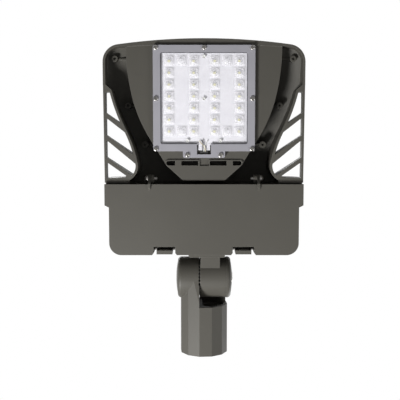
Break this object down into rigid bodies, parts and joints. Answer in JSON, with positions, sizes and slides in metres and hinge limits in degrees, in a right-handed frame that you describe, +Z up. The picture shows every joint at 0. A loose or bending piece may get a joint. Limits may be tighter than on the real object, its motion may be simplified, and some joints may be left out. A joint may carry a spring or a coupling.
{
  "type": "street light head",
  "caption": "Side-entry LED street light head with slatted side openings, a hinged gear door with latches and a toothed tilting pole spigot.",
  "frame": {"origin": "centre of the pole socket's mouth", "axes": "+Y out of the pole socket, along its axis; +Z up, away from the LEDs; +X across the head"},
  "size_m": [0.2812, 0.4506, 0.0855],
  "materials": {
    "painted_casting": "fine-textured dark grey powder coat",
    "stainless_steel": "stainless steel fasteners",
    "bare_aluminium": "bare sheet",
    "driver_case": "satin extruded case",
    "grey_plastic": "light grey moulding with a faint lavender cast",
    "white_board": "white solder mask",
    "led_phosphor": "yellow phosphor chips",
    "clear_lens": "clear moulded lenses",
    "white_plastic": "moulded",
    "black_plastic": "moulded nylon",
    "seal_rubber": "silicone seal"
  },
  "bodies": {
    "pole_spigot": {"pole_spigot": "painted_casting", "pole_set_screws": "stainless_steel", "tilt_bolt": "stainless_steel", "tilt_nut": "stainless_steel"},
    "head": {"housing": "painted_casting", "knuckle_cap": "painted_casting", "module_screws": "stainless_steel", "gear_screws": "stainless_steel", "hinge_pins": "stainless_steel", "latch_pins": "stainless_steel", "module_base": "bare_aluminium", "led_driver": "driver_case", "module_frame": "grey_plastic", "led_board": "white_board", "led_chips": "led_phosphor", "lens_plate": "clear_lens", "wire_entry_block": "clear_lens", "terminal_block": "white_plastic", "surge_protector": "white_plastic", "cable_gland": "black_plastic"},
    "door": {"door": "painted_casting", "door_gasket": "seal_rubber"},
    "latch_right": {"latch_right": "painted_casting"},
    "latch_left": {"latch_left": "painted_casting"}
  },
  "joints": [
    {"name": "tilt", "type": "hinge", "parent": "pole_spigot", "child": "head", "pos_m": [0, -0.11, 0], "axis": [-1, 0, 0], "range_deg": [-15, 90]},
    {"name": "door_hinge", "type": "hinge", "parent": "head", "child": "door", "pos_m": [0, -0.256, -0.028], "axis": [-1, 0, 0], "range_deg": [0, 95]},
    {"name": "latch_right_turn", "type": "hinge", "parent": "head", "child": "latch_right", "pos_m": [0.0557, -0.1536, -0.012], "axis": [1, 0, 0], "range_deg": [0, 20], "stiffness_Nm_per_rad": 0.15},
    {"name": "latch_left_turn", "type": "hinge", "parent": "head", "child": "latch_left", "pos_m": [-0.0557, -0.1536, -0.012], "axis": [1, 0, 0], "range_deg": [0, 20], "stiffness_Nm_per_rad": 0.15}
  ]
}
